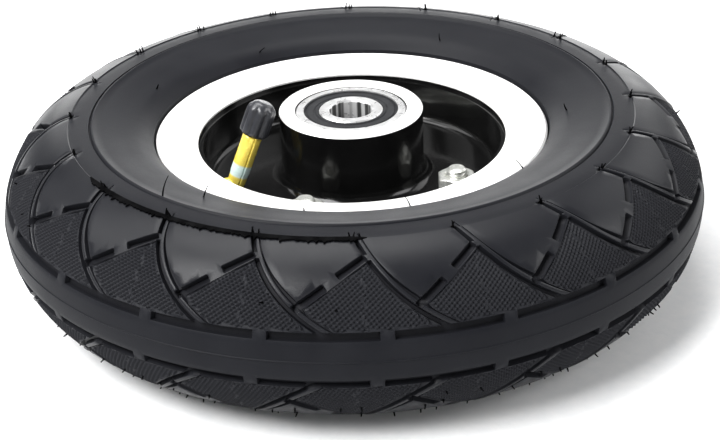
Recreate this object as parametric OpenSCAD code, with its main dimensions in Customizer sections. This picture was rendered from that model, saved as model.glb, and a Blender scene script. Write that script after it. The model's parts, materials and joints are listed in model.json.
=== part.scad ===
// Pneumatic wheel with a split rim and a ball-bearing hub.
// The origin is the wheel's centre, on the axle line and in the plane where the rim halves meet.
// +Z runs along the axle, out of the side that carries the nuts and the tyre valve.
// Lengths are in millimetres and angles in degrees.

/* [Tyre] */
// Outer diameter of the tyre
tyre_d = 200; // [196:1:204]
// Width of the tyre's round section
tyre_w = 50; // [49:0.5:51]
// Number of tread units round the tyre
tread_units = 20; // [16:1:24]
// How far the tread's middle sits above the wheel's middle plane
tread_shift = 1.3; // [0:0.1:1.5]
// Distance from the tread's middle to each dashed groove
groove_offset = 6.4; // [5:0.1:8]
// Width of a dashed groove
groove_w = 2.1; // [1.5:0.1:3]
// Depth of a dashed groove below the crown
groove_depth = 1.6; // [0.8:0.1:2.4]
// Wall of the inner tube
tube_wall = 1.6; // [1:0.1:2]

/* [Rim] */
// Outer diameter of the rim's lip
lip_d = 111.6; // [111:0.1:112]
// Height of the lip's outer edge above the middle plane
lip_z = 18.2; // [17.8:0.1:19]
// Diameter of the dish at the lip
dish_d = 88.1; // [86:0.1:89]
// Depth of the machined band under the lip's inner edge
lip_band = 1.6; // [1:0.1:2]
// Diameter of the seat under the tyre's bead
bead_seat_d = 100; // [99:0.5:101]
// Thickness of each half's web
web_t = 3.2; // [3:0.1:3.6]
// Diameter of the hub boss
boss_d = 41; // [39:0.5:42]
// Width across both hub bosses
hub_w = 48; // [47:0.5:50]

/* [Bearings] */
// Bore of the inner ring, for the axle
bearing_bore_d = 12; // [11:0.5:12.5]
// Outside diameter of the outer ring
bearing_d = 32; // [31.5:0.5:33]
// Width of the bearing
bearing_w = 10; // [9.5:0.5:10]
// Diameter of a ball
ball_d = 5.95; // [5.6:0.05:6]
// Number of balls in a bearing
ball_count = 7; // [5:1:7]
// How far the bearing sits below the boss face
bearing_recess = 0.5; // [0.2:0.1:1]

/* [Bolts] */
// Number of equal places on the bolt circle
bolt_places = 4; // [3:1:5]
// Place that carries no bolt, counted on from the first, which is 0
open_place = 1; // [1:1:2]
// Diameter of the bolt circle
bolt_circle_d = 64; // [64:0.5:67]
// Angle of the first bolt
bolt_angle = 65; // [58:1:68]
// Diameter of the bolt
bolt_d = 6; // [5:0.5:6]
// Width across the flats of bolt heads and nuts
hex_flats = 10; // [9:0.5:10]

/* [Valve] */
// Angle of the valve round the wheel
valve_angle = 198; // [194:1:202]
// Lean of the valve from the axle line, towards the hub
valve_lean = 23; // [17:1:25]
// Diameter of the valve's straight part
valve_d = 5.8; // [5.6:0.1:6]
// Length of the valve's straight part
valve_len = 21; // [20.6:0.1:22]
// Height of the valve hole above the middle plane
valve_hole_z = 6.2; // [6.2:0.1:6.4]
// Diameter over the ribs of the valve cap
cap_d = 8.3; // [8:0.1:9]

/* [Hidden] */
$fn = 128;
eps = 0.01;
gap = 0.1;              // general clearance between neighbours
fit = 0.02;             // close clearance between parts that seat in each other
run = 0.05;             // radial clearance where one part turns in another

section_r = tyre_w / 2;
section_centre = tyre_d / 2 - section_r;
cavity_r = section_r - 4.2;
cavity_centre = section_centre - 0.8;
flange_z = 15.5;        // underside of the lip's flange
bead_z = 10.4;          // inner end of the bead seat
well_r = bead_seat_d / 2 - 3;
well_z = bead_z - 0.8;  // where the well starts to rise to the bead seat
tread_pitch = 360 / tread_units;
bridge_angle = 2;       // length of the rubber bridge between two groove dashes
tread_lean = asin(tread_shift / section_r);
groove_lean = asin(groove_offset / section_r);
upper_bridge = 3.9;     // angle of the first bridge above the middle plane
lower_bridge = 2.5;     // and below it
ridge_r = section_centre - 2.6;
ridge_size = 0.5;       // radius of the sidewall's raised line
bead_gap = 0.2;         // between the tyre's bead and the seat's corner
tube_gap = 0.3;         // between the tube and the tyre's inside
neck_w = bead_z - 0.25; // half width of the tube's neck, between the beads
neck_r = well_r + 1.5;
neck_corner = 1.1;
neck_root_r = cavity_centre - cavity_r + 5;
bead_w = 8;             // how far the bead's block runs out into the tyre's round section
flange_seat_r = lip_d / 2 + 0.15;   // the tyre closes round the lip's edge from here outwards

boss_r = boss_d / 2;
boss_z = hub_w / 2;
dish_r = dish_d / 2;
lip_inner_z = lip_z - 2.2;
floor_r = dish_r - 1.4;
wall_r = floor_r - 0.8; // foot of the dish's wall, which opens slightly upwards
boss_edge = 0.5;        // chamfer round the boss face
mouth_edge = 0.4;       // and round the bearing's seat
lip_edge = 0.6;
flange_edge = 0.5;
boss_fillet = 3.5;
floor_fillet = 2.5;

bearing_z = boss_z - bearing_recess - bearing_w;
bore_r = bearing_bore_d / 2;
ring_r = bearing_d / 2;
pitch_r = (bore_r + ring_r) / 2;
groove_r = ball_d / 2 + 0.08;
outer_edge = 0.6;       // chamfers of the bearing's rings
bore_edge = 0.5;
land_edge = 0.3;
inner_land_r = pitch_r - 1.9;
outer_land_r = pitch_r + 2;
seal_seat_r = outer_land_r + 0.5;
seal_t = 0.8;
seal_z = bearing_w / 2 - 0.3 - seal_t;
cage_t = 2;
cage_back = 1.2;        // how far the cage runs behind the balls' centres
pocket_clear = 0.12;
cage_top = seal_z - 0.2;
hub_bore_r = ring_r - 2.5;
spacer_r = bore_r + 2.5;
spacer_bore_r = bore_r + 0.2;

thread_clear = 0.3;
head_h = 4;
nut_h = 5;
bolt_tip = web_t + nut_h + 2;
bolt_tip_edge = 0.6;    // length of the cone at the bolt's tip

leg_r = 2.5;            // valve's leg and bend
bend_r = 4;
bend_turn = 90 - valve_lean;
bend_x = 38;
bend_end = [bend_x - bend_r * sin(bend_turn), valve_hole_z + bend_r * (1 - cos(bend_turn))];
leg_end_x = 50.6;
boot_r = 3.9;
boot_angle = 16;        // arc of the boot's pad
boot_pad_t = 1.3;
boot_pad_z = 0.4;       // the pad's lower edge
air_r = 1;
valve_r = valve_d / 2;
stub_low = 1.5;         // where the valve's full diameter starts
stub_cone = 0.5;
tip_edge = 0.5;
core_room_r = 1.95;
core_r = core_room_r - run;
core_high = valve_len - 0.8;        // stations along the valve's straight part
core_low = core_high - 6.7;
core_end_wall = 1.1;
core_hole_r = 0.85;
core_chamber_r = 1.5;
pin_r = 0.7;
pin_high = valve_len - 0.3;
pin_low = core_low - 1.9;
pin_head = [1.2, 0.6];  // radius and height of the pin's foot
pin_collar_r = 1.25;
pin_collar = [core_high - 2, core_high - 1.4];
spring_low = core_low + 1.25;
spring_high = pin_collar[0] - 0.15;
spring_coil_r = 1.1;
spring_wire_r = 0.17;
spring_turns = 5;
cap_low = valve_len - 7.8;
cap_seal_low = valve_len + 0.4;
cap_seal_h = 0.8;
cap_bore_end = cap_seal_low + cap_seal_h + gap;
cap_high = cap_bore_end + 0.9;
cap_corner_r = 1.5;
cap_body_r = cap_d / 2 - 0.45;
cap_ribs = 8;
cap_rib_r = 0.8;

// ---------- shared shapes ----------

// A ring of rectangular section, from z_low upwards.
module ring(r_in, r_out, z_low, h) {
    translate([0, 0, z_low])
        difference() {
            cylinder(r = r_out, h = h);
            translate([0, 0, -1]) cylinder(r = r_in, h = h + 2);
        }
}

// A copy for the top and a mirrored copy for the bottom, in a section or in space.
module both_sides(plane = [0, 1, 0]) {
    children();
    mirror(plane) children();
}

// A hexagonal prism with one chamfered end, as a nut or a bolt head has.
module hex_prism(flats, h) {
    corner_r = flats / 2 / cos(30);
    intersection() {
        cylinder(r = corner_r, h = h, $fn = 6);
        union() {
            cylinder(r = corner_r + 1, h = h - 1 + eps);
            translate([0, 0, h - 1]) cylinder(r1 = corner_r + 0.5, r2 = flats / 2 - 0.2, h = 1);
        }
    }
}

// Sets its children at every place of the bolt circle that carries a bolt.
module on_bolts() {
    for (i = [0 : bolt_places - 1])
        if (i != open_place)
            rotate([0, 0, bolt_angle + i * 360 / bolt_places])
                translate([bolt_circle_d / 2, 0, 0])
                    children();
}

// The valve's own plane: x outwards from the axle, z along the axle.
module valve_plane() {
    rotate([0, 0, valve_angle]) children();
}

// The valve's straight part: z runs from the bend to the tip.
module valve_axis() {
    valve_plane()
        translate([bend_end[0], 0, bend_end[1]])
            rotate([0, -valve_lean, 0])
                children();
}

// ---------- tyre and tube ----------

module tyre_section() {
    difference() {
        union() {
            translate([section_centre, 0]) circle(r = section_r);
            both_sides() {
                translate([bead_seat_d / 2 + gap, bead_z + bead_gap])
                    square([bead_w, flange_z - gap - bead_z - bead_gap]);
                translate([ridge_r, section_r - gap]) circle(r = ridge_size);
            }
        }
        translate([cavity_centre, 0]) circle(r = cavity_r);
        translate([0, -bead_z - bead_gap])
            square([section_centre - section_r + bead_w, 2 * (bead_z + bead_gap)]);
        both_sides()
            translate([well_r, flange_z - gap])
                square([flange_seat_r - well_r, 5]);
    }
}

// One dash of a groove, square to the tread's surface. side is 1 above the tread's middle and -1 below.
module groove_dash(side) {
    rotate_extrude(angle = tread_pitch - bridge_angle)
        translate([section_centre, 0])
            rotate(tread_lean + side * groove_lean)
                translate([section_r - groove_depth, -groove_w / 2])
                    square([groove_depth + 2, groove_w]);
}

module tyre() {
    color([0.09, 0.09, 0.1])
        difference() {
            rotate_extrude() tyre_section();
            for (i = [0 : tread_units - 1], side = [-1, 1])
                rotate([0, 0, (i * tread_pitch + bridge_angle / 2
                               + (side > 0 ? upper_bridge : lower_bridge))])
                    groove_dash(side);
        }
}

// Tube section, drawn wall thicknesses in from its outside.
module tube_section(inset) {
    corner = neck_corner + inset * 0.2;
    union() {
        translate([cavity_centre, 0]) circle(r = cavity_r - tube_gap - inset);
        both_sides()
            polygon([
                [neck_r + inset, -eps],
                [neck_r + inset, neck_w - corner],
                [neck_r + inset + neck_corner, neck_w - inset],
                [neck_root_r, neck_w - inset],
                [neck_root_r, -eps]
            ]);
    }
}

module inner_tube() {
    color([0.13, 0.13, 0.13])
        difference() {
            rotate_extrude()
                difference() {
                    tube_section(0);
                    tube_section(tube_wall);
                }
            valve_plane()
                translate([well_r, 0, valve_hole_z])
                    rotate([0, 90, 0])
                        cylinder(r = leg_r + gap, h = 6);
        }
}

// ---------- rim ----------

// A ring that fills the corner between a floor at height z and a wall at radius x.
// side is 1 where the floor lies outside the wall. The ring is rooted a little way into both.
module fillet_ring(x, z, r, side) {
    root = 0.3;
    rotate_extrude()
        translate([x, z])
            mirror([side < 0 ? 1 : 0, 0])
                difference() {
                    translate([-root, -root]) square(r + root);
                    translate([r, r]) circle(r = r);
                }
}

// The rim half's section: x out from the axle, y along it.
module rim_section() {
    lip_r = lip_d / 2;
    seat_r = ring_r + eps;
    band_z = lip_inner_z - lip_band;
    polygon([
        [hub_bore_r, 0],
        [hub_bore_r, bearing_z],
        [seat_r, bearing_z],
        [seat_r, boss_z - mouth_edge],
        [seat_r + mouth_edge, boss_z],
        [boss_r - boss_edge, boss_z],
        [boss_r, boss_z - boss_edge],
        [boss_r, web_t],
        [wall_r, web_t],
        [wall_r, web_t + floor_fillet],
        [floor_r, band_z],
        [dish_r, band_z],
        [dish_r, lip_inner_z - 0.2],
        [dish_r + 0.3, lip_inner_z],
        [lip_r - lip_edge, lip_z],
        [lip_r, lip_z - lip_edge],
        [lip_r, flange_z + flange_edge],
        [lip_r - flange_edge, flange_z],
        [bead_seat_d / 2, flange_z],
        [bead_seat_d / 2, bead_z],
        [well_r, well_z],
        [well_r, 0]
    ]);
}

module rim_half() {
    difference() {
        union() {
            rotate_extrude() rim_section();
            fillet_ring(boss_r, web_t, boss_fillet, 1);
            fillet_ring(wall_r, web_t, floor_fillet, -1);
        }
        on_bolts()
            translate([0, 0, -1])
                cylinder(r = bolt_d / 2 + thread_clear, h = web_t + 2);
    }
}

module rim_half_upper() {
    color([0.05, 0.05, 0.055])
        difference() {
            rim_half();
            valve_plane()
                translate([floor_r - 2, 0, valve_hole_z])
                    rotate([0, 90, 0])
                        cylinder(r = boot_r + 0.2, h = 10);
        }
}

module rim_half_lower() {
    color([0.05, 0.05, 0.055])
        mirror([0, 0, 1]) rim_half();
}

module rim_bolts() {
    shank_r = bolt_d / 2 - fit;
    color([0.75, 0.75, 0.72])
        on_bolts() {
            translate([0, 0, -web_t])
                mirror([0, 0, 1]) hex_prism(hex_flats, head_h);
            translate([0, 0, -web_t - eps])
                cylinder(r = shank_r, h = bolt_tip + web_t + eps - bolt_tip_edge);
            translate([0, 0, bolt_tip - bolt_tip_edge])
                cylinder(r1 = shank_r, r2 = shank_r - 0.5, h = bolt_tip_edge);
        }
}

module rim_nuts() {
    color([0.82, 0.82, 0.78])
        on_bolts()
            translate([0, 0, web_t])
                difference() {
                    hex_prism(hex_flats, nut_h);
                    translate([0, 0, -1]) cylinder(r = bolt_d / 2, h = nut_h + 2);
                }
}

// ---------- bearings ----------

// Children are drawn about the bearing's own centre, with +z outboard.
module at_bearing(side) {
    mirror([0, 0, side > 0 ? 0 : 1])
        translate([0, 0, bearing_z + bearing_w / 2])
            children();
}

// Centres of the balls.
module on_balls() {
    for (i = [0 : ball_count - 1])
        rotate([0, 0, i * 360 / ball_count])
            translate([pitch_r, 0, 0])
                children();
}

module raceway() {
    rotate_extrude() translate([pitch_r, 0]) circle(r = groove_r);
}

module outer_ring(side) {
    half_w = bearing_w / 2;
    at_bearing(side)
        difference() {
            rotate_extrude()
                polygon([
                    [outer_land_r, -seal_z], [seal_seat_r, -seal_z], [seal_seat_r, -half_w],
                    [ring_r - outer_edge, -half_w], [ring_r, -half_w + outer_edge],
                    [ring_r, half_w - outer_edge], [ring_r - outer_edge, half_w],
                    [seal_seat_r, half_w], [seal_seat_r, seal_z], [outer_land_r, seal_z]
                ]);
            raceway();
        }
}

module inner_ring(side) {
    half_w = bearing_w / 2;
    at_bearing(side)
        difference() {
            rotate_extrude()
                polygon([
                    [bore_r, -half_w + bore_edge], [bore_r + bore_edge, -half_w],
                    [inner_land_r - land_edge, -half_w], [inner_land_r, -half_w + land_edge],
                    [inner_land_r, half_w - land_edge], [inner_land_r - land_edge, half_w],
                    [bore_r + bore_edge, half_w], [bore_r, half_w - bore_edge]
                ]);
            raceway();
        }
}

module balls(side) {
    at_bearing(side)
        on_balls() sphere(d = ball_d);
}

// Crown cage: a ring with open pockets that snap over the balls.
module cage(side) {
    at_bearing(side)
        difference() {
            ring(pitch_r - cage_t / 2, pitch_r + cage_t / 2, -cage_back, cage_top + cage_back);
            on_balls() sphere(d = ball_d + pocket_clear);
        }
}

// The seal sits in the outer ring and its lip runs on the inner ring. face is 1 outboard, -1 inboard.
module seal(side, face) {
    at_bearing(side)
        mirror([0, 0, face > 0 ? 0 : 1])
            ring(inner_land_r + run, seal_seat_r - fit, seal_z + fit, seal_t);
}

steel = [0.72, 0.73, 0.75];
seal_rubber = [0.1, 0.1, 0.1];
cage_nylon = [0.78, 0.74, 0.62];

module upper_outer_ring() { color(steel) outer_ring(1); }
module upper_inner_ring() { color(steel) inner_ring(1); }
module upper_balls() { color(steel) balls(1); }
module upper_cage() { color(cage_nylon) cage(1); }
module upper_outboard_seal() { color(seal_rubber) seal(1, 1); }
module upper_inboard_seal() { color(seal_rubber) seal(1, -1); }

module lower_outer_ring() { color(steel) outer_ring(-1); }
module lower_inner_ring() { color(steel) inner_ring(-1); }
module lower_balls() { color(steel) balls(-1); }
module lower_cage() { color(cage_nylon) cage(-1); }
module lower_outboard_seal() { color(seal_rubber) seal(-1, 1); }
module lower_inboard_seal() { color(seal_rubber) seal(-1, -1); }

module bearing_spacer() {
    color([0.6, 0.61, 0.63])
        ring(spacer_bore_r, spacer_r, -bearing_z + eps, 2 * (bearing_z - eps));
}

// ---------- valve ----------

// The valve's path: leg through the rim, bend, then a straight stub up to station h.
// The leg and the stub are step wider than the bend, and run a little way into its ends.
module valve_path(r, step, h) {
    lap = 0.3;
    valve_plane() {
        translate([bend_x - lap, 0, valve_hole_z])
            rotate([0, 90, 0])
                cylinder(r = r + step, h = leg_end_x - bend_x + lap);
        translate([bend_x, 0, valve_hole_z + bend_r])
            rotate([0, 90, 0])
                rotate([90, 0, 0])
                    rotate([0, 0, -bend_turn])
                        rotate_extrude(angle = bend_turn)
                            translate([bend_r, 0]) circle(r = r);
    }
    valve_axis() translate([0, 0, -lap]) cylinder(r = r + step, h = h + lap);
}

module valve_stem() {
    color([0.86, 0.68, 0.22])
        difference() {
            union() {
                valve_path(leg_r, -0.05, stub_low - 0.3);
                valve_axis() {
                    translate([0, 0, stub_low - stub_cone])
                        cylinder(r1 = leg_r - 0.3, r2 = valve_r, h = stub_cone + eps);
                    translate([0, 0, stub_low])
                        cylinder(r = valve_r, h = valve_len - stub_low - tip_edge);
                    translate([0, 0, valve_len - tip_edge])
                        cylinder(r1 = valve_r, r2 = valve_r - 0.4, h = tip_edge);
                }
            }
            valve_path(air_r, 0.05, pin_low);
            valve_plane()
                translate([leg_end_x - eps, 0, valve_hole_z])
                    rotate([0, 90, 0])
                        cylinder(r = air_r, h = 1);
            valve_axis()
                translate([0, 0, pin_low - 2])
                    cylinder(r = core_room_r, h = valve_len);
        }
}

// Moulded rubber collar that fills the rim's hole, on a pad that lies against the tube.
module valve_boot() {
    color([0.12, 0.12, 0.12])
        difference() {
            union() {
                valve_plane()
                    translate([floor_r - 1, 0, valve_hole_z])
                        rotate([0, 90, 0])
                            cylinder(r = boot_r, h = well_r - floor_r + 2);
                rotate([0, 0, valve_angle - boot_angle / 2])
                    rotate_extrude(angle = boot_angle)
                        translate([well_r + gap, boot_pad_z])
                            square([boot_pad_t, well_z - boot_pad_z - 0.2]);
            }
            valve_plane()
                translate([floor_r - 3, 0, valve_hole_z])
                    rotate([0, 90, 0])
                        cylinder(r = leg_r + fit, h = 12);
        }
}

module valve_core_body() {
    color([0.8, 0.63, 0.25])
        valve_axis()
            difference() {
                translate([0, 0, core_low]) cylinder(r = core_r, h = core_high - core_low);
                translate([0, 0, core_low + core_end_wall])
                    cylinder(r = core_chamber_r, h = core_high - core_low - 2 * core_end_wall);
                translate([0, 0, core_low - 1]) cylinder(r = core_hole_r, h = core_high - core_low + 2);
            }
}

module valve_core_pin() {
    color([0.85, 0.7, 0.35])
        valve_axis() {
            translate([0, 0, pin_low]) cylinder(r = pin_r, h = pin_high - pin_low);
            translate([0, 0, pin_low]) cylinder(r = pin_head[0], h = pin_head[1]);
            translate([0, 0, pin_collar[0]]) cylinder(r = pin_collar_r, h = pin_collar[1] - pin_collar[0]);
        }
}

module valve_core_seal() {
    color([0.15, 0.15, 0.15])
        valve_axis() ring(pin_r + fit, 1.6, pin_low + 0.65, core_low - pin_low - 0.75);
}

// A helix of round wire; every station of the wire is a ring of points.
module valve_core_spring() {
    sides = 8;
    steps = spring_turns * 20;
    rise = (spring_high - spring_low - 2 * spring_wire_r) / steps;
    function spring_point(i, j) =
        let (turn = i * 360 * spring_turns / steps, a = j * 360 / sides,
             r = spring_coil_r + spring_wire_r * cos(a))
        [r * cos(turn), r * sin(turn), spring_low + spring_wire_r + i * rise + spring_wire_r * sin(a)];
    points = [for (i = [0 : steps], j = [0 : sides - 1]) spring_point(i, j)];
    skin = [for (i = [0 : steps - 1], j = [0 : sides - 1])
        [i * sides + j, i * sides + (j + 1) % sides,
         (i + 1) * sides + (j + 1) % sides, (i + 1) * sides + j]];
    ends = [[for (j = [sides - 1 : -1 : 0]) j], [for (j = [0 : sides - 1]) steps * sides + j]];
    color([0.7, 0.7, 0.7])
        valve_axis()
            polyhedron(points, concat([for (f = skin) [f[3], f[2], f[1], f[0]]],
                                      [for (f = ends) [for (k = [len(f) - 1 : -1 : 0]) f[k]]]));
}

module valve_cap() {
    color([0.06, 0.06, 0.07])
        valve_axis()
            difference() {
                union() {
                    rotate_extrude()
                        difference() {
                            union() {
                                translate([0, cap_low])
                                    square([cap_body_r, cap_high - cap_low - cap_corner_r]);
                                translate([0, cap_high - 2]) square([cap_body_r - cap_corner_r, 2]);
                                translate([cap_body_r - cap_corner_r, cap_high - cap_corner_r])
                                    circle(r = cap_corner_r);
                            }
                            translate([-5, cap_low - 1]) square([5, cap_high]);
                        }
                    for (i = [0 : cap_ribs - 1])
                        rotate([0, 0, i * 360 / cap_ribs])
                            translate([cap_d / 2 - cap_rib_r, 0, cap_low + 0.5])
                                cylinder(r = cap_rib_r, h = cap_high - cap_low - 3.2, $fn = 32);
                }
                translate([0, 0, cap_low - 1])
                    cylinder(r = valve_r + run, h = cap_bore_end - cap_low + 1);
            }
}

module valve_cap_seal() {
    color([0.2, 0.2, 0.2])
        valve_axis()
            translate([0, 0, cap_seal_low]) cylinder(r = valve_r - run, h = cap_seal_h);
}

tyre();
inner_tube();
rim_half_upper();
rim_half_lower();
rim_bolts();
rim_nuts();
upper_outer_ring();
upper_inner_ring();
upper_balls();
upper_cage();
upper_outboard_seal();
upper_inboard_seal();
lower_outer_ring();
lower_inner_ring();
lower_balls();
lower_cage();
lower_outboard_seal();
lower_inboard_seal();
bearing_spacer();
valve_boot();
valve_stem();
valve_core_body();
valve_core_pin();
valve_core_seal();
valve_core_spring();
valve_cap();
valve_cap_seal();
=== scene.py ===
import json
import math
import random

import bmesh
import bpy
import numpy as np
from mathutils import Matrix, Vector
from mathutils.geometry import delaunay_2d_cdt


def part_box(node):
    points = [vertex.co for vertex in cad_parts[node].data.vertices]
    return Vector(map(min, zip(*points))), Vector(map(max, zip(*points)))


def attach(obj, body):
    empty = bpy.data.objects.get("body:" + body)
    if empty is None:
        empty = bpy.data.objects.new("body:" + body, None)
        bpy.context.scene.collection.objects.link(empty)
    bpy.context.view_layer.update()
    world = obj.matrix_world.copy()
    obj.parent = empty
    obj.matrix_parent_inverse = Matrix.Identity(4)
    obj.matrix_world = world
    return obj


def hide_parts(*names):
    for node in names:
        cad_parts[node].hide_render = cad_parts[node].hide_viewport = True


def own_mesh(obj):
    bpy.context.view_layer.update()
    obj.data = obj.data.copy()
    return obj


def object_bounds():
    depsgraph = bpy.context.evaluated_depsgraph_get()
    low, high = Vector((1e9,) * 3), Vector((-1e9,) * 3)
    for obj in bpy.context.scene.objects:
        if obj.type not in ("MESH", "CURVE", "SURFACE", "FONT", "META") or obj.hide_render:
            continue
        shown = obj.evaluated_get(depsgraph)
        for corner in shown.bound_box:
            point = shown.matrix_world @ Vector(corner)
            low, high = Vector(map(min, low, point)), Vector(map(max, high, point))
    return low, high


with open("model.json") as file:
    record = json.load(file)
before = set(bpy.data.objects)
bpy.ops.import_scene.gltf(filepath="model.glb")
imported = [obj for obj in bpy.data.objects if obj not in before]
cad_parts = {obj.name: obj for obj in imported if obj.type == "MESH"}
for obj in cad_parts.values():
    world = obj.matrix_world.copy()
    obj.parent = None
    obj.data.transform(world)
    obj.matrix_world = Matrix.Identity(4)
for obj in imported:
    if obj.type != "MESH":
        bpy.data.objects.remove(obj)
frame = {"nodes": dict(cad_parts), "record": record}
cad_low, cad_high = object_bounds()

MM = 0.001
NODES = frame["nodes"]

# ---------- sizes, in millimetres ----------

WHEEL_R = round(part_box("tyre")[1].x / MM)       # outer radius of the tyre
SECTION_R = WHEEL_R / 4                         # radius of the tyre's round section
SECTION_CENTRE = WHEEL_R - SECTION_R
LIP_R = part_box("rim_half_upper")[1].x / MM
BOSS_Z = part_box("rim_half_upper")[1].z / MM

# The tread is drawn flat: x runs round the tyre, measured at TREAD_R, and y runs from the middle of the
# tread over the shoulder to the bead.
UNITS = 20
TREAD_R = 0.92 * WHEEL_R
UNIT_W = TREAD_R * 2 * math.pi / UNITS
COLUMNS = 11                                    # plain columns of mesh in a unit
COLUMN_W = UNIT_W / COLUMNS
UNIT_START = math.radians(-107.2)               # where a tread unit starts on the upper side
LOWER_SHIFT = -UNIT_W / COLUMNS                 # the lower side's units start a little earlier
SHOULDER_Y = SECTION_R * math.radians(76.5)
RIDGE_Y = SECTION_R * math.radians(94.5)
BEAD_Y = SECTION_R * math.radians(138.6)
TAIL_STEP = 2.4                                 # y between two rows past the bead
DASH_Y = SECTION_R * math.radians(14.9)
DASH_HALF = 1.15
TREAD_LEAN = math.radians(3)                    # the moulded tread sits a little above the middle plane
FULL_LEAN_Y = SECTION_R * math.radians(50)      # up to here the whole tread leans
SHOULDER_LEAN = 0.6                             # share of the lean that is left at the shoulder
BEAD_LIFT = 2.5                                 # how far the rubber swells up beside the rim's lip
PARTING_H, PARTING_FLAT, PARTING_FOOT = 0.2, 0.08, 0.28     # the mould's line round the middle
SHOULDER_STEP = 0.3                             # the sidewall lies this much lower than the tread
RIDGE_H, RIDGE_FLAT, RIDGE_FOOT = 0.3, 0.15, 0.55           # the thin ridge round the sidewall
LINE_GAP, LINE_D, LINE_FLAT, LINE_FOOT = 0.8, 0.45, 0.1, 0.3    # the fine groove beside the ridge
BRIDGE_X = 3.1 / 360 * 2 * math.pi * TREAD_R    # middle of the bridge between two dashes
BRIDGE_W = 3.2
WALL = 0.25                                     # width of a groove's sloping wall
EDGE = 0.14                                     # rounding outside a groove's edge
KNURL_PITCH = 0.98                              # between two lines of the knurling
KNURL_TURNS = (math.radians(42), math.radians(122))
KNURL_DEPTH = 0.19                              # swing of each of its two families of lines
KNURL_SINK = 0.34                               # how far the middle of the swing lies under the blocks
RIB_H = 0.16
CURVE = (0.386, 0.0038, 0.00052)                # the block's curve, as a cubic from the shoulder down
RIB_INNER, RIB_OUTER = -0.95, -0.03             # the thin rib that runs beside the curve


# ---------- tread features ----------

def curve_x(y):
    """The long curve that starts each block at the shoulder and sweeps down to the dashed groove."""
    s = SHOULDER_Y - y
    return CURVE[0] * s + CURVE[1] * s ** 2 + CURVE[2] * s ** 3


def curve_stretch(y):
    """How much wider a band beside the curve is along x than square to the curve."""
    s = SHOULDER_Y - y
    slope = CURVE[0] + 2 * CURVE[1] * s + 3 * CURVE[2] * s ** 2
    return np.sqrt(1 + slope ** 2)


def cut_share(inside):
    """Share of a groove's depth at a distance inside its edge."""
    return np.interp(inside, [-EDGE, 0, WALL], [0, 0.06, 1])


def line_width(y):
    """Width of the fine groove beside the rib: it opens into a wedge before the block's lower tip."""
    s = SHOULDER_Y - y
    return 0.36 + 0.85 * np.interp(s, [5, 12, 17.5, 19.5, 21.5], [0, 0.35, 1, 1, 0])


class Strip:
    """A groove that follows the curve, between two distances from it and between two heights."""

    def __init__(self, low, high, y_low, y_high, depth):
        self.low, self.high = low, high
        self.y_low, self.y_high = y_low, y_high
        self.depth = depth

    def depth_at(self, x, y):
        return self.depth

    def top(self, y):
        return RIB_OUTER + line_width(y) if self.high is None else self.high

    def inside(self, x, y):
        across = (x - curve_x(y)) / curve_stretch(y)
        sides = np.minimum(across - self.low, self.top(y) - across)
        ends = np.minimum(y - self.y_low, self.y_high - y)
        return np.minimum(sides, ends)

    def loop(self, inset):
        steps = max(2, int((self.y_high - self.y_low) / 0.8))
        ys = np.linspace(self.y_low + inset, self.y_high - inset, steps + 1)
        left = curve_x(ys) + (self.low + inset) * curve_stretch(ys)
        right = curve_x(ys) + (self.top(ys) - inset) * curve_stretch(ys)
        return list(zip(left, ys)) + list(zip(right[::-1], ys[::-1]))


class Slot:
    """A straight slot with rounded corners, at an angle in the flat tread. Its floor may slope."""

    def __init__(self, centre, turn, half_long, half_wide, corner, depth, slope=0.0):
        self.centre, self.turn = centre, turn
        self.half = (half_long, half_wide)
        self.corner, self.depth, self.slope = corner, depth, slope

    def depth_at(self, x, y):
        dx, dy = x - self.centre[0], y - self.centre[1]
        across = dy * math.cos(self.turn) - dx * math.sin(self.turn)
        return self.depth + self.slope * np.clip(across, -self.half[1], self.half[1])

    def inside(self, x, y):
        dx, dy = x - self.centre[0], y - self.centre[1]
        along = np.abs(dx * math.cos(self.turn) + dy * math.sin(self.turn))
        across = np.abs(dy * math.cos(self.turn) - dx * math.sin(self.turn))
        qx = along - self.half[0] + self.corner
        qy = across - self.half[1] + self.corner
        outer = np.hypot(np.maximum(qx, 0), np.maximum(qy, 0))
        return self.corner - outer - np.minimum(np.maximum(qx, qy), 0)

    def loop(self, inset):
        r = max(self.corner - inset, 0.02)
        cx = self.half[0] - inset - r
        cy = self.half[1] - inset - r
        flat = []
        for quarter, (sx, sy) in enumerate([(1, 1), (-1, 1), (-1, -1), (1, -1)]):
            for k in range(4):
                a = math.pi / 2 * (quarter + k / 3)
                flat.append((sx * cx + r * math.cos(a), sy * cy + r * math.sin(a)))
        flat = refine(flat, 1.2)
        c, s = math.cos(self.turn), math.sin(self.turn)
        return [(self.centre[0] + a * c - b * s, self.centre[1] + a * s + b * c) for a, b in flat]


def refine(loop, step):
    """The same closed outline with no side longer than step."""
    out = []
    for (x0, y0), (x1, y1) in zip(loop, loop[1:] + loop[:1]):
        n = max(1, math.ceil(math.hypot(x1 - x0, y1 - y0) / step))
        out += [(x0 + (x1 - x0) * k / n, y0 + (y1 - y0) * k / n) for k in range(n)]
    return out


# The block's stepped edge runs straight from EDGE_START at EDGE_TURN.
EDGE_START = (13.8, 12.5)
EDGE_TURN = math.radians(38.1)
EDGE_LONG = 20.9


def edge_frame(x, y):
    """Distance along the block's stepped edge, and above it."""
    dx, dy = x - EDGE_START[0], y - EDGE_START[1]
    c, s = math.cos(EDGE_TURN), math.sin(EDGE_TURN)
    return dx * c + dy * s, dy * c - dx * s


def edge_point(along, above):
    c, s = math.cos(EDGE_TURN), math.sin(EDGE_TURN)
    return (EDGE_START[0] + along * c - above * s, EDGE_START[1] + along * s + above * c)


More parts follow.
